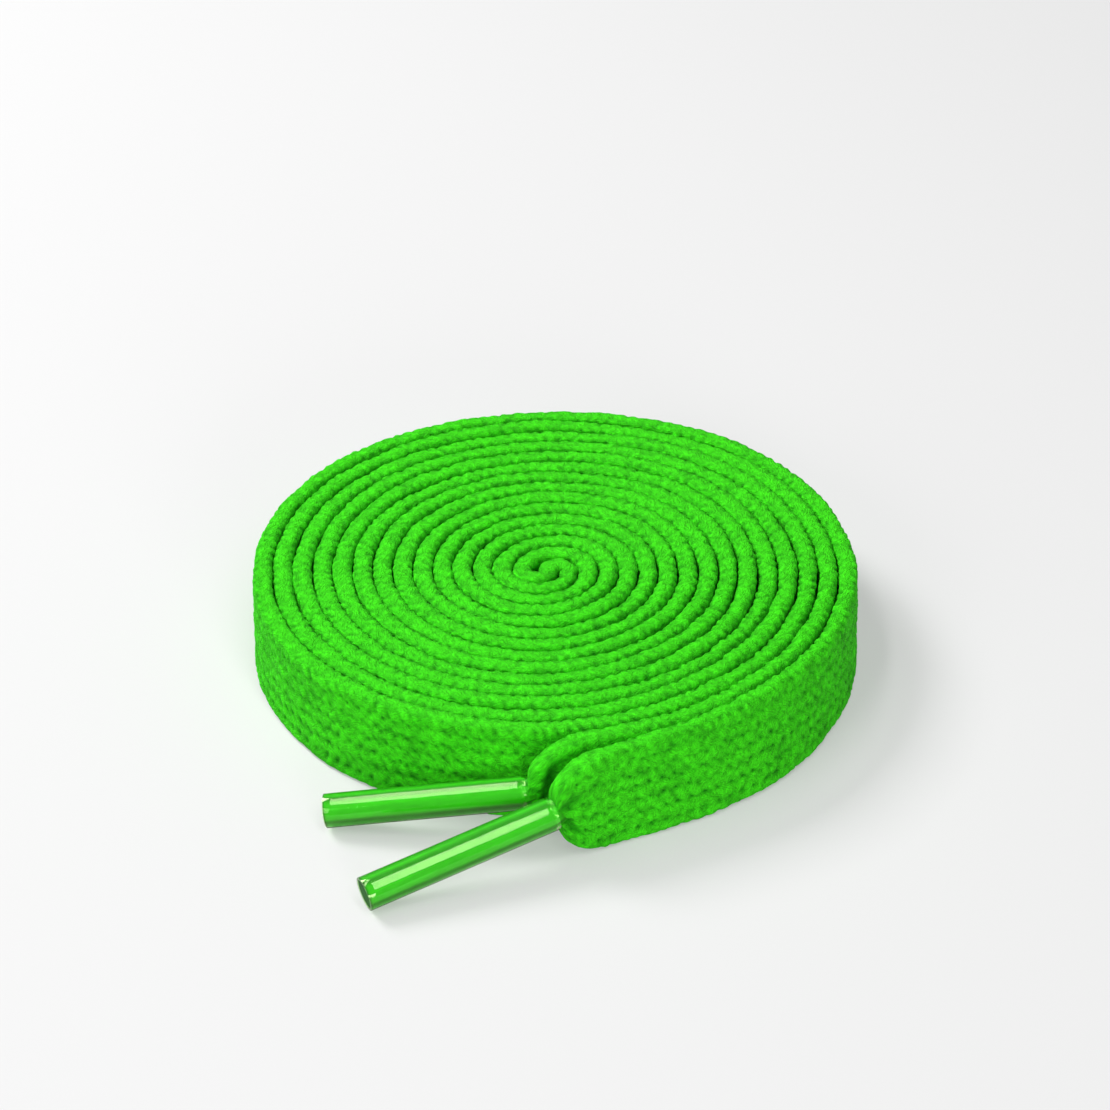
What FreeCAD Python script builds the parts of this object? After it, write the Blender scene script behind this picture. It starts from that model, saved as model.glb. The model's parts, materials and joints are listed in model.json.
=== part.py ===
import FreeCAD, Part

import Sketcher

import math
import os

# A flat braided shoelace, folded in half and rolled up on edge from the fold, with a
# clear aglet on each end.
#
# Frame: the lace stands on the plane z = 0 and the roll's axis is +Z. Seen from above
# the two strands wind outward clockwise. Both free ends stop at the front, on -Y, and
# their aglets point to -X.
#
# The strands' centre lines are half circles struck alternately from two centres, one
# pitch apart on the X axis, so each half turn lies one pitch outside the last.

SIZES = {
    # the lace
    "lace_width": 10.0,
    "lace_thickness": 2.0,
    # the roll
    "turn_gap": 0.13,
    "first_turn_radius": 1.4,
    "half_turns": 14,
    # the free ends; angles are in degrees, places round the roll are counted from the
    # front towards +X, and the aglets' headings from -X outwards
    "inner_end_angle": 11.3,
    "peel_angle": 29.0,
    "free_radius": 90.0,
    "free_length": 9.0,
    "end_length": 6.6,
    "shoulder_corner": 0.2,
    "neck_radius": 1.42,
    "mouth_height": 4.9,
    "inner_heading": -2.8,
    "outer_heading": 25.5,
    "roll_clearance": 0.65,
    "flex_gap": 0.2,
    "floor_gap": 0.05,
    # the aglets
    "aglet_length": 20.6,
    "aglet_diameter": 3.5,
    "aglet_wall": 0.25,
    "core_clearance": 0.02,
    "core_recess": 0.3,
}

END_STATIONS = 6
END_FULLNESS = 2.6

UP = FreeCAD.Vector(0, 0, 1)

doc = FreeCAD.newDocument("shoelace")
sheet = doc.addObject("Spreadsheet::Sheet", "sizes")
for row, (name, value) in enumerate(SIZES.items(), start=1):
    sheet.set(f"A{row}", name)
    sheet.set(f"B{row}", str(value))
    sheet.setAlias(f"B{row}", name)
doc.recompute()


def size(name):
    return float(sheet.get(name))


WIDTH = size("lace_width")
HALF_THICK = size("lace_thickness") / 2
PITCH = size("lace_thickness") + size("turn_gap")
HALF_TURNS = int(size("half_turns"))
FRONT = -90.0


# ---------------------------------------------------------------- the winding


def centre(half_turn):
    """Where a half turn is struck from: odd ones lie behind the X axis, even ones before it."""
    return FreeCAD.Vector(PITCH / 2 if half_turn % 2 else -PITCH / 2, 0, 0)


def strand_radius(strand, half_turn):
    """Centre-line radius of the inner (0) or outer (1) strand in one half turn."""
    return size("first_turn_radius") + (half_turn + strand) * PITCH


def outward(angle):
    return FreeCAD.Vector(math.cos(math.radians(angle)), math.sin(math.radians(angle)), 0)


def strand_point(strand, angle, kick=0.0):
    """A point on a strand's last half turn, or kick outside it."""
    return centre(HALF_TURNS) + outward(angle) * (strand_radius(strand, HALF_TURNS) + kick)


def along(angle):
    """The way to the free end, clockwise, on the last half turn."""
    return FreeCAD.Vector(math.sin(math.radians(angle)), -math.cos(math.radians(angle)), 0)


# ---------------------------------------------------------------- sections and shells


def outline(middle, direction, corners):
    """A closed outline across a direction of travel, from (side, up) corners."""
    side = UP.cross(direction).normalize()
    up = direction.cross(side).normalize()
    points = [middle + side * x + up * z for x, z in corners]
    return Part.makePolygon(points + points[:1])


def flat_section(point, direction):
    """The lace's own section, standing on the table at a point of the plan."""
    corners = [(HALF_THICK, 0), (HALF_THICK, WIDTH), (-HALF_THICK, WIDTH), (-HALF_THICK, 0)]
    return outline(point, direction, corners)


def drawn_section(middle, direction, half_thick, half_high, corner):
    """The lace's section where its edges are drawn in: a rectangle with cut corners."""
    upper = [(half_thick - corner, half_high), (half_thick, half_high - corner)]
    right = upper + [(x, -z) for x, z in reversed(upper)]
    left = [(-x, z) for x, z in reversed(right)]
    return outline(middle, direction, right + left)


def swept_arc(axis_point, radius, start_angle, sweep):
    """The lace's faces round one arc of its centre line, sweep in degrees."""
    start = axis_point + outward(start_angle) * radius
    return flat_section(start, along(start_angle)).revolve(axis_point, UP, sweep).Faces


def strand_faces(strand, last_angle):
    """One strand's faces from the fold to an angle on its last half turn."""
    faces = []
    for half_turn in range(HALF_TURNS):
        start_angle = 180.0 if half_turn % 2 else 0.0
        faces += swept_arc(centre(half_turn), strand_radius(strand, half_turn), start_angle, -180.0)
    radius = strand_radius(strand, HALF_TURNS)
    return faces + swept_arc(centre(HALF_TURNS), radius, 0.0, last_angle)


def fold_faces():
    """The hairpin where the lace is folded in half, between the strands' first half turns."""
    fold_centre = centre(0) + FreeCAD.Vector(size("first_turn_radius") + PITCH / 2, 0, 0)
    return swept_arc(fold_centre, PITCH / 2, 0.0, 180.0)


def solid_of(faces):
    shell = Part.Shell(faces)
    shell.sewShape()
    solid = Part.Solid(shell)
    if solid.Volume < 0:
        solid.reverse()
    return solid


# ---------------------------------------------------------------- the free ends


class FreeEnd:
    """One end of the lace, drawn in to its neck, and the way its aglet points.

    It starts at one point of the plan, running along start_way, and meets the aglet's
    mouth at another, where the aglet takes over with its own heading.
    """

    def __init__(self, start, start_way, mouth, heading):
        self.start = start
        self.start_way = start_way
        self.mouth = mouth + UP * size("mouth_height")
        plan_way = FreeCAD.Rotation(UP, heading).multVec(FreeCAD.Vector(-1, 0, 0))
        drop = self.drop_angle(self.mouth.z)
        self.way = plan_way * math.cos(drop) - UP * math.sin(drop)
        self.side = UP.cross(self.way).normalize()
        self.rise = self.way.cross(self.side).normalize()

    @staticmethod
    def drop_angle(mouth_height):
        """How far the aglet points down for its tip's rim to rest on the table."""
        length = size("aglet_length")
        radius = size("aglet_diameter") / 2
        height = mouth_height - size("floor_gap")
        return math.asin(height / math.hypot(length, radius)) - math.atan(radius / length)

    def plan_point(self, share):
        """The end's centre line in plan, from the strand (0) to the mouth (1)."""
        reach = size("end_length")
        mouth = FreeCAD.Vector(self.mouth.x, self.mouth.y, 0)
        bends = [
            self.start,
            self.start + self.start_way * (reach / 3),
            mouth - self.way * (reach / 3),
            mouth,
        ]
        curve = Part.BezierCurve()
        curve.setPoles([FreeCAD.Vector(p.x, p.y, 0) for p in bends])
        direction = curve.tangent(share)[0]
        return curve.value(share), direction

    def solid(self):
        """The full lace drawn in, in round shoulders, to the neck that enters the aglet."""
        neck = size("neck_radius")
        neck_corner = neck * (2 - math.sqrt(2))
        first_corner = size("shoulder_corner")
        wires = []
        for station in range(END_STATIONS):
            turn = math.pi / 2 * station / END_STATIONS
            share = math.sin(turn) ** (2 / END_FULLNESS)
            open_share = math.cos(turn) ** (2 / END_FULLNESS)
            top = self.mouth.z + neck + (WIDTH - self.mouth.z - neck) * open_share
            bottom = (self.mouth.z - neck) * (1 - open_share)
            point, direction = self.plan_point(share)
            middle = FreeCAD.Vector(point.x, point.y, (top + bottom) / 2)
            half_high = (top - bottom) / 2
            half_thick = HALF_THICK + (neck - HALF_THICK) * share**2
            corner = first_corner + (neck_corner - first_corner) * share**2
            wires.append(drawn_section(middle, direction, half_thick, half_high, corner))
        wires.append(drawn_section(self.mouth, self.way, neck, neck, neck_corner))
        return Part.makeLoft(wires, True, True)

    def aglet_placement(self, offset):
        """Local +Z runs from the mouth to the tip, local X to the side."""
        turn = FreeCAD.Rotation(self.side, self.rise, self.way, "ZXY")
        return FreeCAD.Placement(self.mouth + self.way * offset, turn)


def inner_free_end():
    """Held in the roll up to its shoulders; its mouth stands out far enough for the aglet
    to pass the turn inside it."""
    start_angle = FRONT + size("inner_end_angle")
    mouth_angle = start_angle - math.degrees(size("end_length") / strand_radius(0, HALF_TURNS))
    aglet_reach = size("aglet_diameter") / 2 + size("roll_clearance")
    kick = aglet_reach - HALF_THICK - size("turn_gap")
    mouth = strand_point(0, mouth_angle, kick)
    return FreeEnd(strand_point(0, start_angle), along(start_angle), mouth, size("inner_heading"))


def free_arc():
    """The outer strand past its peel line: the centre it is struck from, and its two angles."""
    peel = FRONT + size("peel_angle")
    straighter = size("free_radius") - strand_radius(1, HALF_TURNS)
    middle = centre(HALF_TURNS) - outward(peel) * straighter
    return middle, peel, peel - math.degrees(size("free_length") / size("free_radius"))


def outer_free_end():
    """Peels off the roll in a wide arc and runs on straight to its mouth."""
    middle, _, last_angle = free_arc()
    start = middle + outward(last_angle) * size("free_radius")
    mouth = start + along(last_angle) * size("end_length")
    return FreeEnd(start, along(last_angle), mouth, size("outer_heading"))


inner = inner_free_end()
outer = outer_free_end()


# ---------------------------------------------------------------- the lace


def cap(point, angle):
    """The lace's cut face at a point of the plan, across its travel."""
    return Part.Face(flat_section(point, along(angle)))


def lace_roll():
    """Both strands from the fold: the inner to its neck, the outer to its peel line."""
    inner_angle = FRONT + size("inner_end_angle")
    peel_angle = FRONT + size("peel_angle")
    faces = fold_faces() + strand_faces(0, inner_angle) + strand_faces(1, peel_angle)
    faces.append(cap(strand_point(0, inner_angle), inner_angle))
    faces.append(cap(strand_point(1, peel_angle), peel_angle))
    return solid_of(faces).fuse(inner.solid())


def outer_end():
    """The outer strand from its peel line to its neck."""
    middle, peel_angle, last_angle = free_arc()
    radius = size("free_radius")
    first_angle = peel_angle - math.degrees(size("flex_gap") / radius)
    faces = swept_arc(middle, radius, first_angle, last_angle - first_angle)
    for angle in (first_angle, last_angle):
        faces.append(cap(middle + outward(angle) * radius, angle))
    return solid_of(faces).fuse(outer.solid())


def add_shape(name, shape):
    feature = doc.addObject("Part::Feature", name)
    feature.Label = name
    feature.Shape = shape
    return feature


# ---------------------------------------------------------------- the aglets


def origin_plane(body, role):
    return next(f for f in body.Origin.OriginFeatures if f.Role == role)


def ring_body(name, radii, length):
    """A round body on local +Z: radii and length are expressions on the sheet."""
    body = doc.addObject("PartDesign::Body", name)
    body.Label = name
    sketch = body.newObject("Sketcher::SketchObject", name + "_circles")
    sketch.AttachmentSupport = [(origin_plane(body, "XY_Plane"), "")]
    sketch.MapMode = "FlatFace"
    for number, expression in enumerate(radii):
        first_radius = float(number + 1)
        circle = Part.Circle(FreeCAD.Vector(0, 0, 0), UP, first_radius)
        index = sketch.addGeometry(circle, False)
        sketch.addConstraint(Sketcher.Constraint("Coincident", index, 3, -1, 1))
        radius = sketch.addConstraint(Sketcher.Constraint("Radius", index, first_radius))
        sketch.setExpression(f"Constraints[{radius}]", expression)
    pad = body.newObject("PartDesign::Pad", name + "_length")
    pad.Profile = sketch
    pad.setExpression("Length", length)
    return body


def aglet(name, end):
    """The clear sleeve of rolled film, set off the neck by the flexing gap."""
    outside = "sizes.aglet_diameter / 2"
    radii = [outside + " - sizes.aglet_wall", outside]
    body = ring_body(name, radii, "sizes.aglet_length")
    body.Placement = end.aglet_placement(size("flex_gap"))
    return body


def core(name, end):
    """The lace's gathered tip, which fills the sleeve and stops just short of its rim."""
    radius = "sizes.aglet_diameter / 2 - sizes.aglet_wall - sizes.core_clearance"
    body = ring_body(name, [radius], "sizes.aglet_length - sizes.core_recess")
    body.Placement = end.aglet_placement(size("flex_gap"))
    return body


parts = [
    add_shape("lace_roll", lace_roll()),
    add_shape("outer_end", outer_end()),
    core("inner_core", inner),
    core("outer_core", outer),
    aglet("inner_aglet", inner),
    aglet("outer_aglet", outer),
]
doc.recompute()

failed = [o.Name for o in doc.Objects if {"Invalid", "Error"} & set(o.State)]
if failed:
    raise RuntimeError("these objects failed: " + ", ".join(failed))
for part in parts:
    if part.Shape.isNull() or not part.Shape.isValid():
        raise RuntimeError(part.Label + " has no valid shape")

os.makedirs("parts", exist_ok=True)
for part in parts:
    part.Shape.exportStep(f"parts/{part.Label}.step")
    box = part.Shape.BoundBox
    print(part.Label, round(part.Shape.Volume, 1), "mm3,", len(part.Shape.Solids), "solid,", box)
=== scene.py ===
import json
import math

import bpy
import numpy as np
from mathutils import Matrix, Vector


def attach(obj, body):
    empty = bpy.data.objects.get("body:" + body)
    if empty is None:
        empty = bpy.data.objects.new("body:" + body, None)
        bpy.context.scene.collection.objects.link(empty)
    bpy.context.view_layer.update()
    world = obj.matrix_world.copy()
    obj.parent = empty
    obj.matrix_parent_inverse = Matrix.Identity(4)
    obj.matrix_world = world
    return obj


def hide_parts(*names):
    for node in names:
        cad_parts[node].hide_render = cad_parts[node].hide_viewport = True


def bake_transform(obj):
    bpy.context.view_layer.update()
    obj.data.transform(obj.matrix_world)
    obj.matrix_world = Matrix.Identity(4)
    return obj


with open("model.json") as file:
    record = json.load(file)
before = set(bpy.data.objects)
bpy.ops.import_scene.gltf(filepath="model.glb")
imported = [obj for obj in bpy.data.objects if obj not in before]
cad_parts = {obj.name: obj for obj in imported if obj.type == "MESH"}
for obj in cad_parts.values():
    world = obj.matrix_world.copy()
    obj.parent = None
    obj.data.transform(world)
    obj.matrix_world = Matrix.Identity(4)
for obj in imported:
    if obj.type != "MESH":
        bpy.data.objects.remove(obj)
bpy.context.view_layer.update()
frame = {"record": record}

# The lace is worked out in millimetres, and MM turns them into metres. Floor, lamps and camera are in metres.

MM = 0.001

# The roll and the ends, as in the solids.

WIDTH = 10.0
PITCH = 2.13
FIRST_RADIUS = 1.4
HALF_TURNS = 14
INNER_END = math.radians(-78.7)
PEEL = math.radians(-61.0)
FREE_RADIUS = 90.0
FREE_LENGTH = 9.0
END_LENGTH = 6.6
END_FULLNESS = 2.6
NECK = 1.42
FLEX_GAP = 0.2

# The braid's section, and its stitches: their length along the lace, their slant and their depth.

HALF_THICK = 1.1
CORNER = 0.54
COLUMNS = 16
STITCH = 1.5
SLANT = 0.9
EDGE_LOOP = 1.3
RELIEF = 0.3
CREST_LEVEL = 0.75
GROOVE = 0.16
HOLE = 0.62
STEP = 0.25
TABLE_GAP = 0.02

# How the turns lie in the photo. The moves outwards and inwards are in millimetres.
# A bell is (height, middle, width), its middle and width in degrees round the roll.

FRONT_LEAN_IN = 1.0
END_LEAN_IN = (0.7, -50, 30)
FOOT_OUT = 0.15
FRONT_FOOT_OUT = 0.35
END_FOOT_OUT = (0.35, -45, 35)
BACK_OUT = 0.45
BACK_CORNERS_OUT = ((0.55, 40, 25), (0.6, 148, 25))
LOOSE_SIDES = ((1.0, -30, 32), (0.6, 145, 30))
CLOSE_SIDES = ((1.0, -140, 35), (0.7, 50, 30))

# Unevenness along the lace, as (amount, seed, wavelength): the first is a share of the thickness.

THINNER = (0.028, 3, 37.0)
LOWER = (0.13, 7, 83.0)
SIDEWAYS = (0.035, 11, 19.0)

# The aglets' film.

FILM_WALL = 0.25
FILM_LAP = 0.045
FILM_EASE = 0.05
LAP_ANGLE = math.radians(-50)
LAP_END = 0.9975
ROUND_COUNT = 96

UP = np.array([0.0, 0.0, 1.0])


# ---------------------------------------------------------------- small tools


def outward(angle):
    return np.array([math.cos(angle), math.sin(angle), 0.0])


def clockwise(angle):
    return np.array([math.sin(angle), -math.cos(angle), 0.0])


def unit(vector):
    return vector / np.linalg.norm(vector)


def spread(start, stop, step):
    count = max(1, round((stop - start) / step))
    return [start + (stop - start) * i / count for i in range(count)]


def wander(position, seed, wavelength):
    """A smooth irregular wave of about -1 to 1 along the lace."""
    total = np.zeros_like(position)
    for octave in range(4):
        length = wavelength * (0.37 + 0.31 * octave)
        phase = (seed * 1.713 + octave * 2.399) % 1.0 * 2 * math.pi
        total += np.sin(2 * math.pi * position / length + phase)
    return total / 2.6


def hashed(a, b):
    """A fixed random number of 0 to 1 for a pair of whole numbers."""
    value = np.sin(a * 12.9898 + b * 78.233 + 3.1) * 43758.5453
    return value - np.floor(value)


def soft_noise(x, y, wrap):
    """Smooth noise of 0 to 1 on a grid of whole numbers, closed round y after wrap steps."""
    low_x, low_y = np.floor(x), np.floor(y)
    share_x, share_y = x - low_x, y - low_y
    share_x, share_y = share_x**2 * (3 - 2 * share_x), share_y**2 * (3 - 2 * share_y)
    rows = [np.mod(low_y + step, wrap) for step in (0, 1)]
    values = [[hashed(low_x + step, row) for step in (0, 1)] for row in rows]
    first = values[0][0] + (values[0][1] - values[0][0]) * share_x
    second = values[1][0] + (values[1][1] - values[1][0]) * share_x
    return first + (second - first) * share_y


def roll_degrees(points):
    return np.degrees(np.arctan2(points[..., 1], points[..., 0]))


def bells(degrees, *places):
    """The sum of smooth bumps round the roll."""
    return sum(height * np.exp(-(((degrees - middle) / width) ** 2)) for height, middle, width in places)


# ---------------------------------------------------------------- the braid


def columns_from_edge(around):
    """Braid columns to the middle of the nearer edge: 0 there and COLUMNS / 4 in the middle of a face."""
    return COLUMNS / 4 - np.abs(np.mod(around, COLUMNS / 2) - COLUMNS / 4)


def stitch_hollows(along, around):
    """Depth between the slanted stitches, and a random number for each stitch."""
    column = np.floor(around + 0.5)
    across = around + 0.5 - column
    column = np.mod(column, COLUMNS)
    odd = np.mod(column, 2)
    drift = 0.16 * (hashed(column, np.floor(along / 5.3)) - 0.5)
    phase = (along + (1 - 2 * odd) * SLANT * (across - 0.5)) / STITCH + 0.5 * odd + drift
    stitch = np.floor(phase)
    seam = np.abs(2 * (phase - stitch) - 1) ** 2.2
    side = np.abs(2 * across - 1) ** 2
    looseness = 0.3 + 1.3 * hashed(column + 3, stitch)
    hollow = GROOVE * side + GROOVE * seam + HOLE * side * seam * looseness
    return hollow, hashed(column, stitch)


def loop_hollows(along, around):
    """Depth between the loops that run along both edges, weaker on the lower one, which lies pressed."""
    from_edge = columns_from_edge(around)
    far_side = np.where(np.mod(around, COLUMNS / 2) > COLUMNS / 4, 0.5, 0.0)
    turn = along / EDGE_LOOP + 0.25 * from_edge + far_side + 0.6 * soft_noise(along / 3.1, around / 2.0, 8)
    loop = np.floor(turn)
    hollow = (0.3 + 0.5 * hashed(loop, 9.0)) * np.abs(2 * (turn - loop) - 1) ** 2
    hollow = hollow * np.clip(from_edge / 0.7 - 0.1, 0, 1)
    lower_edge = np.clip(2 - np.abs(np.mod(around + COLUMNS / 2, COLUMNS) - COLUMNS / 2), 0, 1)
    return hollow * (1 - 0.6 * lower_edge)


def relief(along, around):
    """Height of the braid's surface, 0 in a hole to 1 on a crest."""
    near_edge = np.clip(1.45 - columns_from_edge(around), 0, 1)
    hollow, stitch_random = stitch_hollows(along, around)
    hollow = hollow * (1 - 0.75 * near_edge) + loop_hollows(along, around) * near_edge
    yarn = 0.5 * soft_noise(along / 0.5, around / 0.32, 50) + 0.12 * stitch_random
    return np.clip(1.16 - hollow - yarn, 0, 1)


def lumps(along, around):
    """Slow unevenness of the yarn's tension, about -0.5 to 0 of the relief's depth."""
    total = (
        np.sin(along / 0.83 + 1.9 * around) + np.sin(along / 1.31 - 1.3 * around + 2.0)
        + np.sin(along / 2.3 + 0.7 * around + 4.0)
    )
    return total / 12 - 0.25


def section(around, half_thick, half_high, corner):
    """Points and outward normals round a rectangle with round corners, by braid column.

    Column 0 starts at the middle of the lower edge and the count runs up the +side face.
    """
    straight_x = half_thick - corner
    straight_z = half_high - corner
    arc = corner * math.pi / 2
    lengths = [
        straight_x, arc, 2 * straight_z, arc, 2 * straight_x, arc, 2 * straight_z, arc, straight_x,
    ]
    marks = np.concatenate([[0.0], np.cumsum(lengths)])
    travel = np.mod(around, COLUMNS) / COLUMNS * marks[-1]
    leg = np.clip(np.searchsorted(marks, travel, side="right") - 1, 0, len(lengths) - 1)
    rest = travel - marks[leg]
    sine, cosine = np.sin(rest / corner), np.cos(rest / corner)
    zero, one = np.zeros_like(rest), np.ones_like(rest)
    x = np.choose(leg, [
        rest, straight_x + corner * sine, half_thick + zero, straight_x + corner * cosine,
        straight_x - rest,
        -straight_x - corner * sine, -half_thick + zero, -straight_x - corner * cosine, rest - straight_x,
    ])
    z = np.choose(leg, [
        -half_high + zero, -straight_z - corner * cosine, rest - straight_z, straight_z + corner * sine,
        half_high + zero,
        straight_z + corner * cosine, straight_z - rest, -straight_z - corner * sine, -half_high + zero,
    ])
    nx = np.choose(leg, [zero, sine, one, cosine, zero, -sine, -one, -cosine, zero])
    nz = np.choose(leg, [-one, -cosine, zero, sine, one, cosine, zero, -sine, -one])
    return x, z, nx, nz


def ring_columns(plus_step, minus_step):
    """Where a ring has its points: close over both edges, and by the given steps on the faces."""
    lower, upper = 1.5, 6.4
    places = (
        spread(-lower, lower, 0.33)
        + spread(lower, upper, plus_step)
        + spread(upper, COLUMNS - upper, 0.23)
        + spread(COLUMNS - upper, COLUMNS - lower, minus_step)
    )
    return np.sort(np.mod(np.array(places), COLUMNS))


BARE_STEP = 0.2
COVERED_STEP = 1.6
HIDDEN = ring_columns(COVERED_STEP, COVERED_STEP)
PLUS_SHOWN = ring_columns(BARE_STEP, COVERED_STEP)
MINUS_SHOWN = ring_columns(COVERED_STEP, BARE_STEP)
ALL_SHOWN = ring_columns(BARE_STEP, BARE_STEP)


# ---------------------------------------------------------------- stations along the lace


class Stations:
    """Cross sections along the lace: middle, side and up directions, and sizes."""

    FIELDS = ("middle", "side", "up", "half_thick", "half_high", "corner", "depth", "along")

    def __init__(self):
        self.rows = []
        self.columns = []

    def add(self, middle, side, up, half_thick, half_high, corner, depth, along, columns):
        self.rows.append((middle, side, up, half_thick, half_high, corner, depth, along))
        self.columns.append(columns)

    def add_full(self, foot, side, along, columns):
        """A section of the full lace, standing on its edge at foot."""
        self.add(foot + UP * WIDTH / 2, side, UP, HALF_THICK, WIDTH / 2, CORNER, RELIEF, along, columns)

    def field(self, name):
        place = self.FIELDS.index(name)
        return np.array([row[place] for row in self.rows], float)

    def blocks(self):
        """Runs of stations that share one ring, as (first, last + 1, columns)."""
        first = 0
        for i in range(1, len(self.rows) + 1):
            if i == len(self.rows) or self.columns[i] is not self.columns[first]:
                yield first, i, self.columns[first]
                first = i


def centre(half_turn):
    return np.array([PITCH / 2 if half_turn % 2 else -PITCH / 2, 0.0, 0.0])


def strand_radius(strand, half_turn):
    return FIRST_RADIUS + (half_turn + strand) * PITCH


def strand_arcs():
    """The lace's centre line from the inner end through the fold to the peel line, as arcs."""
    arcs = [(centre(HALF_TURNS), strand_radius(0, HALF_TURNS), INNER_END, 0.0)]
    for half_turn in reversed(range(HALF_TURNS)):
        start = math.pi if half_turn % 2 else 0.0
        arcs.append((centre(half_turn), strand_radius(0, half_turn), start - math.pi, start))
    arcs.append((np.array([FIRST_RADIUS, 0.0, 0.0]), PITCH / 2, math.pi, 0.0))
    for half_turn in range(HALF_TURNS):
        start = math.pi if half_turn % 2 else 0.0
        arcs.append((centre(half_turn), strand_radius(1, half_turn), start, start - math.pi))
    arcs.append((centre(HALF_TURNS), strand_radius(1, HALF_TURNS), 0.0, PEEL))
    return arcs


def free_arc():
    middle = centre(HALF_TURNS) - outward(PEEL) * (FREE_RADIUS - strand_radius(1, HALF_TURNS))
    return middle, FREE_RADIUS, PEEL, PEEL - FREE_LENGTH / FREE_RADIUS


def add_arc(stations, arc, along, columns):
    """Adds an arc's stations, its last point left to whatever follows, and returns the new along."""
    middle, radius, start, stop = arc
    length = abs(stop - start) * radius
    count = max(4, math.ceil(length / STEP))
    turn_way = 1.0 if stop > start else -1.0
    for i in range(count):
        angle = start + (stop - start) * i / count
        stations.add_full(
            middle + outward(angle) * radius, -turn_way * outward(angle), along + length * i / count,
            columns(angle) if callable(columns) else columns,
        )
    return along + length


# ---------------------------------------------------------------- the drawn-in ends


class DrawnEnd:
    """One end of the lace, drawn in to its aglet's mouth. Its mouth and way come from the aglet's mount."""

    def __init__(self, mount, start, start_way, puff):
        record = next(m for m in frame["record"]["mounts"] if m["name"] == mount)
        self.way = unit(np.array(record["axis"], float))
        middle = np.array(record["pos_m"], float) / MM
        self.length = record["dims"]["length_mm"]
        self.radius = record["dims"]["r_mm"]
        self.rim = middle - self.way * self.length / 2
        self.mouth = self.rim - self.way * FLEX_GAP
        self.side = unit(np.cross(UP, self.way))
        self.rise = np.cross(self.way, self.side)
        self.start = start
        self.start_way = start_way
        self.puff = puff

    def plan(self, share):
        """Middle line in plan and its direction, from the full lace (0) to the mouth (1)."""
        flat = np.array([1.0, 1.0, 0.0])
        poles = [
            self.start * flat,
            (self.start + self.start_way * END_LENGTH / 3) * flat,
            (self.mouth - self.way * END_LENGTH / 3) * flat,
            self.mouth * flat,
        ]
        rest = 1 - share
        point = (
            poles[0] * rest**3 + 3 * poles[1] * rest**2 * share + 3 * poles[2] * rest * share**2
            + poles[3] * share**3
        )
        tangent = (
            (poles[1] - poles[0]) * rest**2 + 2 * (poles[2] - poles[1]) * rest * share
            + (poles[3] - poles[2]) * share**2
        )
        return point, unit(tangent)

    def profile(self, count):
        """Middle, direction, half thickness, half height, corner and share of each section."""
        rows = []
        for i in range(count + 1):
            turn = math.pi / 2 * i / count
            share = math.sin(turn) ** (2 / END_FULLNESS)
            opened = max(0.0, math.cos(turn)) ** (2 / END_FULLNESS)
            top = self.mouth[2] + NECK + (WIDTH - self.mouth[2] - NECK) * opened
            bottom = (self.mouth[2] - NECK) * (1 - opened)
            point, direction = self.plan(share)
            puff = self.puff * math.sin(math.pi * share) ** 1.5
            half_thick = HALF_THICK + (NECK - HALF_THICK) * share**2 + puff
            middle = point + UP * (top + bottom) / 2
            tip_share = share**6
            direction = unit(direction * (1 - tip_share) + self.way * tip_share)
            half_high = (top - bottom) / 2
            corner = CORNER + (min(half_thick, half_high) * 0.999 - CORNER) * share**1.5
            rows.append((middle, direction, half_thick, half_high, corner, share))
        return rows

    def ring(self, angles, reach, distance):
        """A ring of points round the aglet's axis, at a distance from its rim."""
        return (
            self.rim + self.way * distance
            + (np.cos(angles) * reach)[:, None] * self.side + (np.sin(angles) * reach)[:, None] * self.rise
        )


def add_end(stations, end, along, reverse, count=44):
    """Adds a drawn-in end; reverse runs it from the mouth inwards. Returns the new along."""
    rows = end.profile(count)
    if reverse:
        rows = rows[::-1]
    last = None
    for middle, direction, half_thick, half_high, corner, share in rows:
        if last is not None:
            along += np.linalg.norm(middle - last)
        last = middle
        travel = -direction if reverse else direction
        side = unit(np.cross(UP, travel))
        up = np.cross(travel, side)
        depth = RELIEF * (1 - 0.45 * share**2)
        stations.add(middle, side, up, half_thick, half_high, corner, depth, along, ALL_SHOWN)
    return along


# ---------------------------------------------------------------- how the turns lie


def leaned(points, share):
    """The front's upper edges go in and its feet out, and the back and its corners are fuller."""
    distance = np.maximum(np.hypot(points[..., 0], points[..., 1]), 1e-6)
    degrees = roll_degrees(points)
    front = np.clip(-points[..., 1] / distance, 0, 1)
    back = np.clip(points[..., 1] / distance, 0, 1)
    height = np.clip(points[..., 2] / WIDTH, 0, 1)
    top_in = FRONT_LEAN_IN * front + bells(degrees, END_LEAN_IN)
    foot_out = FOOT_OUT + FRONT_FOOT_OUT * front + bells(degrees, END_FOOT_OUT)
    back_out = BACK_OUT * back + bells(degrees, *BACK_CORNERS_OUT)
    move = foot_out * (1 - height) - top_in * height + back_out
    move = move * share / strand_radius(0, HALF_TURNS)
    return points + points * np.array([1.0, 1.0, 0.0]) * move[..., None]


def covered_side(columns, around):
    """1 on the sides that lie against the next turn, where little light gets in, and 0 elsewhere: the mask of
    the painted shade in the gaps.
    """
    plus = columns is HIDDEN or columns is MINUS_SHOWN
    minus = columns is HIDDEN or columns is PLUS_SHOWN
    covered = np.where(np.mod(around, COLUMNS) < COLUMNS / 2, float(plus), float(minus))
    return covered * np.clip((columns_from_edge(around) - 0.5) / 0.5, 0, 1)


def outlines(columns, half_thick, half_high, corner):
    """The plain section of each ring: x, z and outward normals, as arrays (ring, point)."""
    rows = [
        section(columns, thick, high, min(rounding, thick * 0.999))
        for thick, high, rounding in zip(half_thick, half_high, corner)
    ]
    return np.array(rows).transpose(1, 0, 2)


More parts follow.
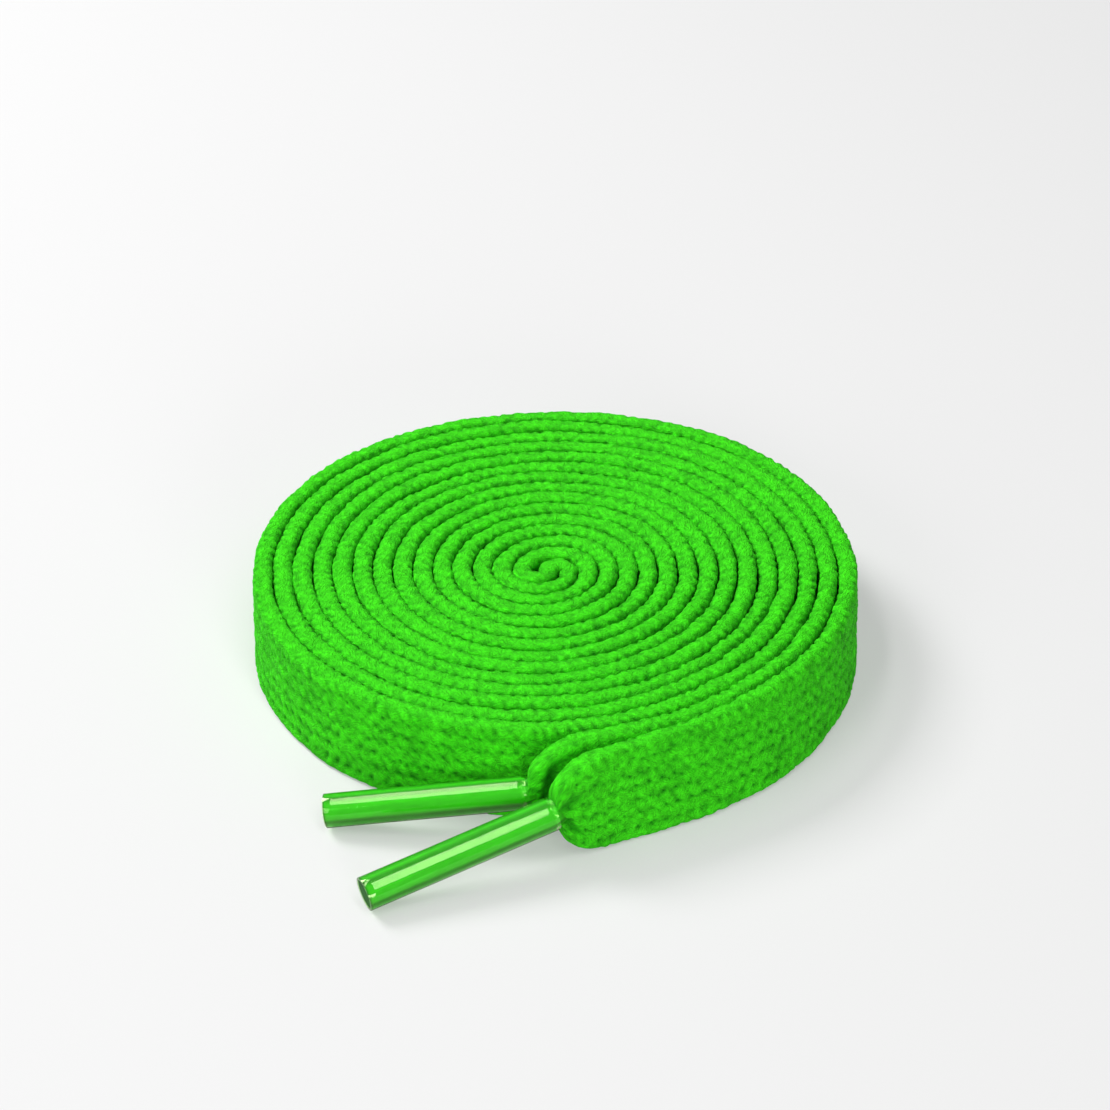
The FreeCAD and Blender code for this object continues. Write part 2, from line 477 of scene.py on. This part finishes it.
def surface(stations, first, last, columns, dents):
    """Points and crest heights of a run of rings, as arrays (ring, point, ...); the crests returned carry
    painted shade in the pleats and covered gaps.
    """
    pick = {name: stations.field(name)[first:last] for name in Stations.FIELDS}
    middle, side, up = (pick[name][:, None, :] for name in ("middle", "side", "up"))
    along = pick["along"][:, None] + np.zeros(len(columns))
    around = columns[None, :] + np.zeros((last - first, 1))
    size = pick["half_high"] / (WIDTH / 2)
    full = np.clip((size - 0.9) / 0.1, 0, 1)
    loose = bells(roll_degrees(pick["middle"]), *LOOSE_SIDES)
    close = bells(roll_degrees(pick["middle"]), *CLOSE_SIDES)

    amount, seed, wavelength = THINNER
    thinner = amount * (1 + wander(pick["along"], seed, wavelength) + full * loose)
    corner = pick["corner"] * (1 + full * (0.25 * loose - 0.6 * close))
    x, z, nx, nz = outlines(columns, pick["half_thick"] * (1 - thinner), pick["half_high"], corner)

    amount, seed, wavelength = LOWER
    lift = size * amount * (wander(pick["along"], seed, wavelength) - 0.35)
    z = z + lift[:, None] * np.clip(z / pick["half_high"][:, None], 0, 1)
    amount, seed, wavelength = SIDEWAYS
    x = x + (size * amount * wander(pick["along"], seed, wavelength))[:, None]

    crest = relief(along, around)
    on_top = np.clip(nz, 0, 1) * full[:, None]
    depth = pick["depth"][:, None] * (1 + on_top * (0.8 * loose - 0.25 * close)[:, None])
    sink = (crest - CREST_LEVEL + lumps(along, around)) * depth
    x, z = x + sink * nx, z + sink * nz
    points = middle + side * x[..., None] + up * z[..., None]
    points = leaned(points, np.clip((size - 0.3) / 0.7, 0, 1)[:, None] ** 2)
    if columns is ALL_SHOWN:
        normal = side * nx[..., None] + up * nz[..., None]
        for dent in dents:
            pressed = dent(points)
            points = points - normal * pressed[..., None]
            # Painted shade in the pleats: the crest, which sets the colour, drops where the lace is pressed
            # in.
            crest = crest * (1 - np.clip(pressed / 0.5, 0, 0.75))
    points[..., 2] = np.maximum(points[..., 2], TABLE_GAP)
    # Painted shade: the crest, which sets the colour, is darkened on the sides that lie against the next
    # turn, more where the turns lie loose.
    painted_gap_shade = np.clip(0.15 + 0.75 * loose - 0.3 * close, 0, 1)[:, None] * covered_side(columns, around)
    return points, crest * (1 - 0.55 * painted_gap_shade)


def crease(line, depth, width, fades):
    """A pleat pressed into the lace along a line of points, with its share of the depth at each."""
    line = np.array(line, float)

    def pressed(points):
        best = np.full(points.shape[:-1], np.inf)
        fade = np.zeros(points.shape[:-1])
        for i in range(len(line) - 1):
            start, run = line[i], line[i + 1] - line[i]
            share = np.clip(((points - start) @ run) / (run @ run), 0, 1)
            distance = np.linalg.norm(points - start - share[..., None] * run, axis=-1)
            nearer = distance < best
            best = np.where(nearer, distance, best)
            fade = np.where(nearer, fades[i] + share * (fades[i + 1] - fades[i]), fade)
        return depth * fade * np.exp(-((best / width) ** 2))

    return pressed


# ---------------------------------------------------------------- meshes


class Skin:
    """The faces between rings of points, and each corner's place along and round the lace."""

    def __init__(self):
        self.faces = []
        self.sizes = []
        self.corners = []

    def add(self, faces, length, around, first):
        """Adds faces of one kind, a row of vertices each; first is where their band starts."""
        places = [np.ravel(length + np.zeros(faces.shape)), np.ravel(around), np.full(faces.size, first)]
        self.faces.append(faces.ravel())
        self.sizes.append(np.full(len(faces), faces.shape[1]))
        self.corners.append(np.stack(places, 1))

    def add_band(self, low, high, columns, start, stop):
        """Quads between two rings with the same columns, which begin at the vertices low and high."""
        index = np.arange(len(columns))
        after = (index + 1) % len(columns)
        ahead = columns[after] + np.where(after == 0, COLUMNS, 0)
        quads = np.stack([low + index, low + after, high + after, high + index], 1)
        around = np.stack([columns, ahead, ahead, columns], 1)
        self.add(quads, np.array([start, start, stop, stop]), around, start)

    def add_zip(self, low, high, low_columns, high_columns, start, stop):
        """Triangles between two rings of unlike columns."""
        def corner(ring, offset, index):
            turns, place = divmod(index, len(ring))
            return offset + place, ring[place] + turns * COLUMNS

        a = b = 0
        while a < len(low_columns) or b < len(high_columns):
            here_a, next_a = corner(low_columns, low, a), corner(low_columns, low, a + 1)
            here_b, next_b = corner(high_columns, high, b), corner(high_columns, high, b + 1)
            step_a = b >= len(high_columns) or (a < len(low_columns) and next_a[1] <= next_b[1])
            triangle = (here_a, next_a if step_a else next_b, here_b)
            length = np.array([start if vertex < high else stop for vertex, _ in triangle])
            around = np.array([column for _, column in triangle])
            self.add(np.array([[vertex for vertex, _ in triangle]]), length, around, start)
            a, b = (a + 1, b) if step_a else (a, b + 1)

    def add_cap(self, low, columns, length, way):
        """The cut end, given a little length so that its layout isn't a mere line."""
        loop = low + np.arange(len(columns))[::way]
        places = columns[::way]
        self.add(loop[None, :], length + 0.02 * np.sin(places), places, length)


def lace_mesh(name, stations, bake_rows, dents=()):
    """A closed mesh round all the stations."""
    points, crests, starts = [], [], []
    for first, last, columns in stations.blocks():
        block, crest = surface(stations, first, last, columns, dents)
        offset = sum(len(p) for p in points)
        starts += [offset + len(columns) * i for i in range(last - first)]
        points.append(block.reshape(-1, 3))
        crests.append(crest.ravel())
    along = stations.field("along")
    rings = stations.columns
    skin = Skin()
    for i in range(len(rings) - 1):
        if rings[i] is rings[i + 1]:
            skin.add_band(starts[i], starts[i + 1], rings[i], along[i], along[i + 1])
        else:
            skin.add_zip(starts[i], starts[i + 1], rings[i], rings[i + 1], along[i], along[i + 1])
    skin.add_cap(starts[0], rings[0], along[0], -1)
    skin.add_cap(starts[-1], rings[-1], along[-1], 1)
    return finished_mesh(name, np.concatenate(points), np.concatenate(crests), skin, bake_rows)


def finished_mesh(name, points, crest, skin, bake_rows):
    """The mesh object, with its braid coordinates and its bake layout in rows as UV maps."""
    faces, sizes = np.concatenate(skin.faces), np.concatenate(skin.sizes)
    mesh = bpy.data.meshes.new(name)
    mesh.vertices.add(len(points))
    mesh.vertices.foreach_set("co", (points * MM).astype(np.float32).ravel())
    mesh.loops.add(len(faces))
    mesh.loops.foreach_set("vertex_index", faces.astype(np.int32))
    mesh.polygons.add(len(sizes))
    starts = np.concatenate([[0], np.cumsum(sizes)[:-1]])
    mesh.polygons.foreach_set("loop_start", starts.astype(np.int32))
    mesh.polygons.foreach_set("use_smooth", np.ones(len(sizes), bool))
    mesh.update(calc_edges=True)
    mesh.attributes.new("crest", "FLOAT", "POINT").data.foreach_set("value", crest.astype(np.float32))
    length, around, first = np.concatenate(skin.corners).T
    low, high = length.min(), length.max() + 1e-6
    row_length = (high - low) / bake_rows
    row = np.clip(np.floor((first - low) / row_length), 0, bake_rows - 1)
    bake_u = 0.004 + 0.985 * (length - low - row * row_length) / row_length
    bake_v = (row + 0.03 + 0.94 * around / (COLUMNS + 1.0)) / bake_rows
    for uv_name, u, v in (("OFBake", bake_u, bake_v), ("Braid", length, around)):
        layer = mesh.uv_layers.new(name=uv_name)
        layer.data.foreach_set("uv", np.stack([u, v], 1).astype(np.float32).ravel())
    mark_caps(mesh)
    mesh.validate()
    return linked(name, mesh)


def mark_caps(mesh):
    """The two cut ends are the last two faces; their edges are sharp."""
    sharp = mesh.attributes.new("sharp_edge", "BOOLEAN", "EDGE")
    values = np.zeros(len(mesh.edges), bool)
    pairs = np.zeros(len(mesh.edges) * 2, np.int32)
    mesh.edges.foreach_get("vertices", pairs)
    pairs = np.sort(pairs.reshape(-1, 2), 1)
    for face in mesh.polygons[-2:]:
        loop = np.array(face.vertices)
        for pair in np.sort(np.stack([loop, np.roll(loop, -1)], 1), 1):
            values |= (pairs == pair).all(1)
    sharp.data.foreach_set("value", values)


def linked(name, data):
    """A new object of the scene."""
    made = bpy.data.objects.new(name, data)
    bpy.context.scene.collection.objects.link(made)
    return made


# ---------------------------------------------------------------- the lace


FREE_MIDDLE, _, _, FREE_STOP = free_arc()
INNER_START = centre(HALF_TURNS) + outward(INNER_END) * strand_radius(0, HALF_TURNS)
OUTER_START = FREE_MIDDLE + outward(FREE_STOP) * FREE_RADIUS
PEEL_POINT = centre(HALF_TURNS) + outward(PEEL) * strand_radius(1, HALF_TURNS)
inner = DrawnEnd("inner_tip", INNER_START, clockwise(INNER_END), 0.12)
outer = DrawnEnd("outer_tip", OUTER_START, clockwise(FREE_STOP), 0.35)

END_SPAN = math.radians(-45)


def inner_face_shown(angle):
    """The inner strand's last stretch, which the outer one's free end leaves bare."""
    return MINUS_SHOWN if angle < END_SPAN else HIDDEN


def outer_face_shown(angle):
    """The outer strand from where the inner one's end stops covering it."""
    return PLUS_SHOWN if angle < END_SPAN else HIDDEN


def roll_stations():
    stations = Stations()
    along = add_end(stations, inner, 0.0, True)
    arcs = strand_arcs()
    last_hidden = len(arcs) - 3
    for number, arc in enumerate(arcs):
        columns = HIDDEN
        if number == 0:
            columns = inner_face_shown
        if number == last_hidden:
            columns = outer_face_shown
        if number > last_hidden:
            columns = PLUS_SHOWN
        along = add_arc(stations, arc, along, columns)
    stations.add_full(PEEL_POINT, outward(PEEL), along, PLUS_SHOWN)
    return stations, along


def outer_end_stations(along):
    stations = Stations()
    along = add_arc(stations, free_arc(), along, ALL_SHOWN)
    add_end(stations, outer, along, False)
    return stations


OUTER_PLEATS = (
    crease(
        [(1.7, -36.9, 5.8), (2.9, -36.4, 6.4), (4.4, -35.8, 6.8), (6.6, -34.8, 7.1)],
        depth=0.6, width=0.45, fades=(0.5, 1, 0.9, 0),
    ),
    crease(
        [(1.5, -36.9, 4.9), (2.3, -36.6, 4.2), (3.4, -36.2, 2.7), (4.9, -35.5, 1.2)],
        depth=0.5, width=0.34, fades=(0.5, 1, 0.9, 0),
    ),
    crease([(5.6, -35.4, 5.3), (8.2, -34.5, 5.6)], depth=0.25, width=0.5, fades=(1, 0)),
)
INNER_PLEATS = (
    crease(
        [(1.6, -32.9, 9.0), (0.8, -33.1, 7.5), (0.4, -33.3, 6.0), (0.0, -33.3, 4.4)],
        depth=0.6, width=0.75, fades=(0.3, 1, 1, 0.8),
    ),
)

rolled, peel_along = roll_stations()
roll = lace_mesh("lace_roll_braid", rolled, 8, INNER_PLEATS)
outer_piece = lace_mesh("outer_end_braid", outer_end_stations(peel_along), 1, OUTER_PLEATS)


# ---------------------------------------------------------------- the aglets and what they hold


def core_piece(name, end):
    """The gathered lace from inside the neck to just short of the aglet's tip."""
    length = end.length - 0.06
    mouth = 0.52
    profile = [(1.1, -0.9), (1.22, -0.6), (1.3, -0.4)]
    profile += [(1.36, -0.3 + 0.05 * i) for i in range(12)]
    profile += [(1.44, 0.32), (1.49, 0.42), (1.51, mouth)]
    profile += [(1.515, mouth + (length - mouth - 0.04) * i / 60) for i in range(1, 61)] + [(1.49, length)]
    index = np.arange(ROUND_COUNT)
    angles = index / ROUND_COUNT * 2 * math.pi
    columns = index / ROUND_COUNT * COLUMNS
    points = []
    for radius, distance in profile:
        folds = 0.5 * np.cos(9 * angles + 0.6 * math.sin(distance * 0.7)) + 0.5 * np.cos(14 * angles + 1.3)
        fold_depth = 0.06 if distance < 0.3 else 0.012
        points.append(end.ring(angles, radius + fold_depth * folds, distance))
    skin = Skin()
    last = len(profile) - 1
    for ring in range(last):
        low, high = ring * ROUND_COUNT, (ring + 1) * ROUND_COUNT
        skin.add_band(low, high, columns, profile[ring][1], profile[ring + 1][1])
    skin.add_cap(0, columns, profile[0][1], -1)
    skin.add_cap(last * ROUND_COUNT, columns, profile[last][1], 1)
    points = np.concatenate(points)
    return finished_mesh(name, points, np.ones(len(points)), skin, 1)


def aglet_piece(name, end):
    """The clear film sleeve: a closed wall with eased rims and the small step of its lap."""
    share = np.append(np.arange(ROUND_COUNT) / ROUND_COUNT, LAP_END)
    angles = LAP_ANGLE + share * 2 * math.pi
    outside = end.radius - FILM_LAP * (1 - share)
    inside = np.full(len(angles), end.radius - FILM_WALL)
    rim = [(FILM_EASE, 0.0), (FILM_EASE * 0.3, FILM_EASE * 0.3), (0.0, FILM_EASE)]
    rings = [(outside - cut, distance) for cut, distance in rim]
    rings += [(outside, end.length * i / 24) for i in range(1, 24)]
    rings += [(outside - cut, end.length - distance) for cut, distance in reversed(rim)]
    rings += [(inside, end.length), (inside, end.length / 2), (inside, 0.0)]
    points = [end.ring(angles, reach, distance) for reach, distance in rings]
    index = np.arange(len(angles))
    after = (index + 1) % len(angles)
    quads = []
    for ring in range(len(rings)):
        low, high = ring * len(angles), (ring + 1) % len(rings) * len(angles)
        quads.append(np.stack([low + index, low + after, high + after, high + index], 1))
    mesh = bpy.data.meshes.new(name)
    mesh.from_pydata((np.concatenate(points) * MM).tolist(), [], np.concatenate(quads).tolist())
    mesh.polygons.foreach_set("use_smooth", np.ones(len(mesh.polygons), bool))
    mesh.set_sharp_from_angle(angle=math.radians(40))
    return linked(name, mesh)


inner_core = core_piece("inner_core_braid", inner)
outer_core = core_piece("outer_core_braid", outer)
inner_film = aglet_piece("inner_aglet_film", inner)
outer_film = aglet_piece("outer_aglet_film", outer)


# ---------------------------------------------------------------- how the pieces ride


def blend_at_neck(piece):
    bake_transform(piece)


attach(roll, "roll")
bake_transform(outer_piece)
blend_at_neck(inner_core)
blend_at_neck(outer_core)
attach(inner_film, "inner_tip")
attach(outer_film, "outer_tip")

for piece, node, slot in (
    (roll, "lace_roll", "lace_braid"),
    (outer_piece, "outer_end", "lace_braid"),
    (inner_core, "inner_core", "lace_core"),
    (outer_core, "outer_core", "lace_core"),
    (inner_film, "inner_aglet", "aglet_film"),
    (outer_film, "outer_aglet", "aglet_film"),
):
    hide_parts(node)


# ---------------------------------------------------------------- materials


WHITE = (1.0, 1.0, 1.0, 1.0)
# The yarn's green, and the painted shade that the grooves, covered gaps and pleats take on.
BRAID_BRIGHT = (0.053, 0.77, 0.008, 1.0)
BRAID_PAINTED_SHADE = (0.002, 0.2, 0.0005, 1.0)
BRAID_SHEEN = (0.25, 1.0, 0.12, 1.0)
CORE_GREEN = (0.026, 0.39, 0.0015, 1.0)
FILM_TINT = (0.8, 1.0, 0.76, 1.0)
FILM_SHADOW = (0.86, 0.97, 0.84, 1.0)
FILM_GLOSS = (1.0, 1.0, 0.62, 1.0)
FILM_COAT = (0.85, 1.0, 0.55, 1.0)
FLOOR_GREY = (0.5, 0.5, 0.5, 1.0)

# Painted shade of the gathered tips: dark lines down their sides, where the aglets' edges fall into shade:
# the column of each, where it begins and ends, and its level.

PAINTED_SHADE_LINES = ((3.5, 0.1, 0.9, 0.45), (15.4, 0.1, 0.9, 0.45), (5.5, 0.3, 1.1, 0.4))


class Nodes:
    """Short ways to build the node tree of a material or world."""

    def __init__(self, owner):
        owner.use_nodes = True
        self.tree = owner.node_tree
        self.tree.nodes.clear()

    def fill(self, socket, value):
        """Links a socket to another node's output, or sets its plain value."""
        if isinstance(value, bpy.types.NodeSocket):
            self.tree.links.new(value, socket)
        else:
            socket.default_value = value

    def node(self, kind, **inputs):
        made = self.tree.nodes.new(kind)
        for name, value in inputs.items():
            self.fill(made.inputs[name.replace("_", " ")], value)
        return made

    def math(self, operation, *values):
        made = self.tree.nodes.new("ShaderNodeMath")
        made.operation = operation
        for socket, value in zip(made.inputs, values):
            self.fill(socket, value)
        return made.outputs[0]

    def times(self, first, second):
        return self.math("MULTIPLY", first, second)

    def plus(self, first, second):
        return self.math("ADD", first, second)

    def vector(self, x, y, z):
        return self.node("ShaderNodeCombineXYZ", X=x, Y=y, Z=z).outputs[0]

    def mix(self, factor, first, second, blend="MIX"):
        made = self.tree.nodes.new("ShaderNodeMix")
        made.data_type = "RGBA"
        made.blend_type = blend
        for place, value in ((0, factor), (6, first), (7, second)):
            self.fill(made.inputs[place], value)
        return made.outputs[2]

    def shaded(self, colour, level):
        """A colour times a level."""
        return self.mix(1.0, colour, self.vector(level, level, level), "MULTIPLY")

    def noise(self, vector, scale, detail, roughness=0.5):
        made = self.node("ShaderNodeTexNoise", Vector=vector, Scale=scale, Detail=detail, Roughness=roughness)
        return made.outputs["Fac"]

    def ramp(self, value, low, high, to_low=0.0, to_high=1.0):
        made = self.node(
            "ShaderNodeMapRange", Value=value, From_Min=low, From_Max=high, To_Min=to_low, To_Max=to_high,
        )
        return made.outputs["Result"]

    def bump(self, strength, distance, height):
        made = self.node("ShaderNodeBump", Strength=strength, Distance=distance, Height=height)
        return made.outputs[0]

    def braid_place(self):
        """Millimetres along the lace and braid columns round it."""
        uv = self.node("ShaderNodeUVMap")
        uv.uv_map = "Braid"
        parts = self.node("ShaderNodeSeparateXYZ", Vector=uv.outputs["UV"])
        return parts.outputs["X"], parts.outputs["Y"]

    def seen_straight(self):
        """1 for rays from the camera, also through clear film, and 0 for light on the object."""
        rays = self.node("ShaderNodeLightPath")
        return self.math("MAXIMUM", rays.outputs["Is Camera Ray"], rays.outputs["Is Transmission Ray"])

    def output(self, shader, kind="ShaderNodeOutputMaterial"):
        self.node(kind, Surface=shader.outputs[0])


def braid_material():
    """Soft filament yarn: its green on the crests and painted shade in the grooves, covered gaps and pleats,
    with fine fibres along each stitch.
    """
    material = bpy.data.materials.new("lace_braid")
    nodes = Nodes(material)
    along, around = nodes.braid_place()
    column = nodes.math("FLOOR", nodes.plus(around, 0.5))
    lean = nodes.math("MULTIPLY_ADD", nodes.math("MODULO", column, 2.0), -2.0, 1.0)
    across = nodes.times(around, 1.4)
    over = nodes.math("SUBTRACT", nodes.times(across, 0.86), nodes.times(nodes.times(along, lean), 0.5))
    down = nodes.plus(nodes.times(along, 0.86), nodes.times(over, 0.1))
    fibre_place = nodes.vector(nodes.times(over, 9.0), nodes.times(down, 1.1), column)
    fibres = nodes.noise(fibre_place, 1.0, 3.0, 0.6)
    bend = nodes.times(nodes.noise(nodes.vector(along, across, 1.0), 1.3, 2.0), 2.2)
    turn = nodes.times(nodes.plus(over, bend), math.pi / 0.5)
    plies = nodes.math("ABSOLUTE", nodes.math("SINE", turn))
    patch_place = nodes.vector(nodes.times(along, 0.35), nodes.times(across, 0.35), 4.0)
    patches = nodes.noise(patch_place, 1.0, 2.0)
    loops = nodes.noise(nodes.vector(along, across, 9.0), 1.7, 2.0, 0.6)
    # Painted shade: the crest, low in the grooves, covered gaps and pleats, mixes the yarn green towards its
    # painted shade.
    crest = nodes.node("ShaderNodeAttribute")
    crest.attribute_name = "crest"
    height = nodes.ramp(crest.outputs["Fac"], 0.0, 0.85)
    level = nodes.plus(nodes.ramp(fibres, 0.25, 0.75, -0.2, 0.17), nodes.ramp(patches, 0.3, 0.7, -0.07, 0.07))
    level = nodes.plus(level, nodes.ramp(loops, 0.3, 0.7, -0.2, 0.14))
    level = nodes.plus(level, nodes.ramp(plies, 0.0, 0.6, 0.88, 1.03))
    fine = nodes.plus(nodes.math("MULTIPLY_ADD", plies, 0.6, fibres), nodes.times(loops, 2.2))
    shader = nodes.node(
        "ShaderNodeBsdfPrincipled",
        Base_Color=nodes.shaded(nodes.mix(height, BRAID_PAINTED_SHADE, BRAID_BRIGHT), level),
        Roughness=0.78,
        Normal=nodes.bump(0.8, 0.16 * MM, fine),
        Specular_IOR_Level=0.12,
        Sheen_Weight=0.08,
        Sheen_Roughness=0.45,
        Sheen_Tint=BRAID_SHEEN,
    )
    nodes.output(shader)
    return material


def core_material():
    """The gathered tip under the film: pressed smooth, with folds running down it, painted shade lines along
    its sides and a dark cut end.
    """
    material = bpy.data.materials.new("lace_core")
    nodes = Nodes(material)
    along, around = nodes.braid_place()
    folds = nodes.noise(nodes.vector(nodes.times(along, 0.12), nodes.times(around, 1.3), 2.0), 1.0, 3.0, 0.55)
    mottle = nodes.noise(nodes.vector(nodes.times(along, 1.1), nodes.times(around, 1.6), 7.0), 1.0, 2.0)
    level = nodes.ramp(folds, 0.25, 0.75, 0.82, 1.1)
    # Painted shade: each line darkens the core's colour in a band round its column.
    for column, begins, ends, darkest in PAINTED_SHADE_LINES:
        away = nodes.math("ABSOLUTE", nodes.math("SUBTRACT", around, column))
        level = nodes.times(level, nodes.ramp(away, begins, ends, darkest, 1.0))
    level = nodes.plus(level, nodes.ramp(mottle, 0.3, 0.7, -0.05, 0.05))
    level = nodes.times(level, nodes.ramp(along, inner.length - 0.3, inner.length - 0.1, 1.0, 0.35))
    shader = nodes.node(
        "ShaderNodeBsdfPrincipled",
        Base_Color=nodes.shaded(CORE_GREEN, level),
        Roughness=0.6,
        Normal=nodes.bump(0.3, 0.15 * MM, folds),
        Specular_IOR_Level=0.2,
    )
    nodes.output(shader)
    return material


def film_material():
    """Clear glossy film, which lets lamps through to the lace inside it."""
    material = bpy.data.materials.new("aglet_film")
    nodes = Nodes(material)
    scuffs = nodes.noise(nodes.node("ShaderNodeTexCoord").outputs["Object"], 900.0, 3.0)
    shader = nodes.node(
        "ShaderNodeBsdfPrincipled",
        Base_Color=FILM_TINT,
        Roughness=nodes.ramp(scuffs, 0.3, 0.7, 0.06, 0.11),
        Normal=nodes.bump(0.06, 0.1 * MM, scuffs),
        Transmission_Weight=1.0,
        IOR=1.5,
        Specular_Tint=FILM_GLOSS,
        Coat_Weight=0.3,
        Coat_IOR=1.5,
        Coat_Roughness=0.08,
        Coat_Tint=FILM_COAT,
    )
    clear = nodes.node("ShaderNodeBsdfTransparent", Color=FILM_SHADOW)
    shadow_ray = nodes.node("ShaderNodeLightPath").outputs["Is Shadow Ray"]
    both = nodes.node("ShaderNodeMixShader", Fac=shadow_ray)
    nodes.fill(both.inputs[1], shader.outputs[0])
    nodes.fill(both.inputs[2], clear.outputs[0])
    nodes.output(both)
    return material


for material, pieces in (
    (braid_material(), (roll, outer_piece)),
    (core_material(), (inner_core, outer_core)),
    (film_material(), (inner_film, outer_film)),
):
    for piece in pieces:
        piece.data.materials.append(material)


# ---------------------------------------------------------------- floor, light and camera


# How bright the floor and the world look by themselves, and how bright the world lights the object.

FLOOR_NEAR_GLOW = 0.32
FAR_GLOW = 0.92
FLOOR_GLOW_STARTS = 0.2
FLOOR_GLOW_ENDS = 0.9
WORLD_LIGHT = 0.17

STRIP = {"width": 0.06, "height": 0.46, "watts": 0.57}

FOCAL_LENGTH = 107.52
SENSOR_WIDTH = 36.0
SHIFT_X = 0.00847
SHIFT_Y = 0.01117
ELEVATION = math.radians(33.81)
DISTANCE = 0.353645


def floor_piece():
    """A grey floor, which takes the shadows, with a glow for the camera that makes it pale."""
    bpy.ops.mesh.primitive_plane_add(size=4.0, location=(0, 0, 0))
    floor = bpy.context.object
    floor.name = "floor"
    material = bpy.data.materials.new("floor")
    nodes = Nodes(material)
    glossy = nodes.times(nodes.node("ShaderNodeLightPath").outputs["Is Glossy Ray"], 0.4)
    seen = nodes.math("MAXIMUM", nodes.seen_straight(), glossy)
    away = nodes.node("ShaderNodeVectorMath", Vector=nodes.node("ShaderNodeNewGeometry").outputs["Position"])
    away.operation = "LENGTH"
    glow = nodes.ramp(
        away.outputs["Value"], FLOOR_GLOW_STARTS, FLOOR_GLOW_ENDS, FLOOR_NEAR_GLOW, FAR_GLOW
    )
    shader = nodes.node(
        "ShaderNodeBsdfPrincipled",
        Base_Color=FLOOR_GREY,
        Roughness=0.9,
        Specular_IOR_Level=0.0,
        Emission_Color=WHITE,
        Emission_Strength=nodes.times(seen, glow),
    )
    nodes.output(shader)
    floor.data.materials.append(material)


def lamp(name, place, width, height, watts, target=(0, 0, 0), upright=(0.0, 0.0, 1.0)):
    """A softbox facing the target, its height running the upright way."""
    data = bpy.data.lights.new(name, "AREA")
    data.shape = "RECTANGLE"
    data.size, data.size_y = width, height
    data.energy = watts
    piece = linked(name, data)
    piece.location = place
    back = (Vector(place) - Vector(target)).normalized()
    across = Vector(upright).cross(back).normalized()
    piece.rotation_euler = Matrix((across, back.cross(across), back)).transposed().to_euler()


def studio_world():
    """Weak light from all round, and a pale backdrop."""
    world = bpy.data.worlds.new("studio")
    bpy.context.scene.world = world
    nodes = Nodes(world)
    level = nodes.ramp(nodes.seen_straight(), 0.0, 1.0, WORLD_LIGHT, FAR_GLOW)
    background = nodes.node("ShaderNodeBackground", Color=WHITE, Strength=level)
    nodes.output(background, "ShaderNodeOutputWorld")


def photo_camera():
    """Looks at the roll's upper edge from the photo's elevation."""
    data = bpy.data.cameras.new("camera")
    data.lens = FOCAL_LENGTH
    data.sensor_width = SENSOR_WIDTH
    data.shift_x, data.shift_y = SHIFT_X, SHIFT_Y
    data.clip_start, data.clip_end = 0.01, 10.0
    camera = linked("camera", data)
    aim = Vector((0, 0, WIDTH * MM))
    camera.location = aim + Vector((0, -math.cos(ELEVATION), math.sin(ELEVATION))) * DISTANCE
    camera.rotation_euler = (math.pi / 2 - ELEVATION, 0, 0)
    bpy.context.scene.camera = camera
    bpy.context.scene.view_settings.view_transform = "Standard"


floor_piece()
lamp("key", (-0.42, 0.336, 0.47), 0.27, 0.27, 3.85)
lamp(
    "strip over the inner tip", (-0.167, 0.007, 0.477), **STRIP,
    target=(-0.012, -0.032, 0), upright=(0.06, 0.98, -0.06),
)
lamp(
    "strip over the outer tip", (0.107, -0.195, 0.465), **STRIP,
    target=(-0.008, -0.04, 0), upright=(-0.44, 0.79, 0.37),
)
lamp("left front", (-0.42, -0.42, 0.28), 0.4, 0.3, 1.1)
lamp("front", (0.22, -0.75, 0.15), 0.3, 0.24, 2.4)
studio_world()
photo_camera()
